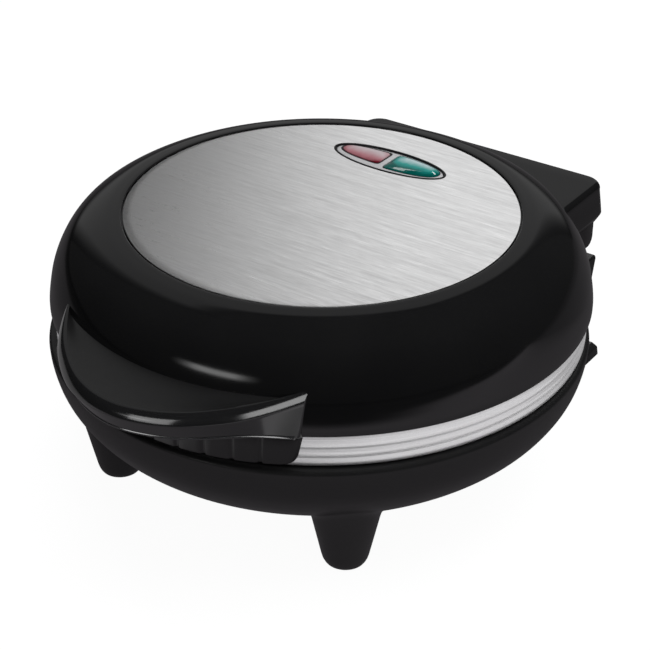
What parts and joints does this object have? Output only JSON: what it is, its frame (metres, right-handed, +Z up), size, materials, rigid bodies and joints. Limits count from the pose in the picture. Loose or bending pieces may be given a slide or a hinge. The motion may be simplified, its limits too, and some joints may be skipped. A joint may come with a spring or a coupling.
{
  "type": "omelette maker",
  "caption": "Round countertop cooker with a hinged lid, a scooped front handle, a steel top disc with signal lamps, and half-moon cooking pockets between its plates.",
  "frame": {"origin": "centre of the bounding box in X and Y, on the ground plane under the feet", "axes": "+Z up, +Y from the handle towards the hinge, +X to the right of someone standing at the handle and facing the hinge"},
  "size_m": [0.2216, 0.2682, 0.1137],
  "materials": {
    "gloss_black": "high gloss black",
    "satin_black": "satin black, fine grain",
    "brushed_steel": "brushed in one direction, satin",
    "silver_plastic": "silver, satin gloss",
    "red_lens": "clear red plastic, gloss",
    "green_lens": "clear green plastic, gloss",
    "lamp_glass": "clear glass",
    "coated_cast": "cast, dark non-stick coating, satin",
    "heater_steel": "drawn tube, dull",
    "zinc_steel": "zinc plated, satin",
    "aluminised_sheet": "rolled sheet, satin",
    "ceramic": "unglazed ceramic, matte",
    "silicone_wire": "silicone sleeve, matte",
    "black_rubber": "matte"
  },
  "bodies": {
    "base": {"base_shell": "satin_black", "foot_pad_front_left": "black_rubber", "foot_pad_rear_left": "black_rubber", "foot_pad_front_right": "black_rubber", "foot_pad_rear_right": "black_rubber", "base_screw_front_left": "zinc_steel", "base_screw_rear_left": "zinc_steel", "base_screw_front_right": "zinc_steel", "base_screw_rear_right": "zinc_steel", "lower_plate": "coated_cast", "lower_heater": "heater_steel", "lower_reflector": "aluminised_sheet", "thermal_fuse": "heater_steel", "terminal_block": "ceramic", "live_lead": "silicone_wire", "neutral_lead": "silicone_wire", "cord_gland": "black_rubber", "hinge_pin_left": "zinc_steel", "hinge_pin_right": "zinc_steel", "hinge_sleeve_base": "silicone_wire"},
    "lid": {"lid_shell": "gloss_black", "lid_disc": "brushed_steel", "indicator_bezel": "silver_plastic", "power_lens": "red_lens", "ready_lens": "green_lens", "power_lamp": "lamp_glass", "ready_lamp": "lamp_glass", "lamp_holder": "satin_black", "lid_trim_ring": "brushed_steel", "lid_handle": "satin_black", "handle_screw_left": "zinc_steel", "handle_screw_right": "zinc_steel", "handle_grip": "satin_black", "upper_plate": "coated_cast", "upper_heater": "heater_steel", "upper_reflector": "aluminised_sheet", "thermostat": "ceramic", "lid_screw_front_left": "zinc_steel", "lid_screw_rear_left": "zinc_steel", "lid_screw_front_right": "zinc_steel", "lid_screw_rear_right": "zinc_steel", "hinge_sleeve_lid": "silicone_wire", "lid_live_lead": "silicone_wire", "lid_neutral_lead": "silicone_wire"}
  },
  "joints": [
    {"name": "lid_hinge", "type": "hinge", "parent": "base", "child": "lid", "pos_m": [0, 0.1181, 0.068], "axis": [-1, 0, 0], "range_deg": [0, 90]}
  ]
}
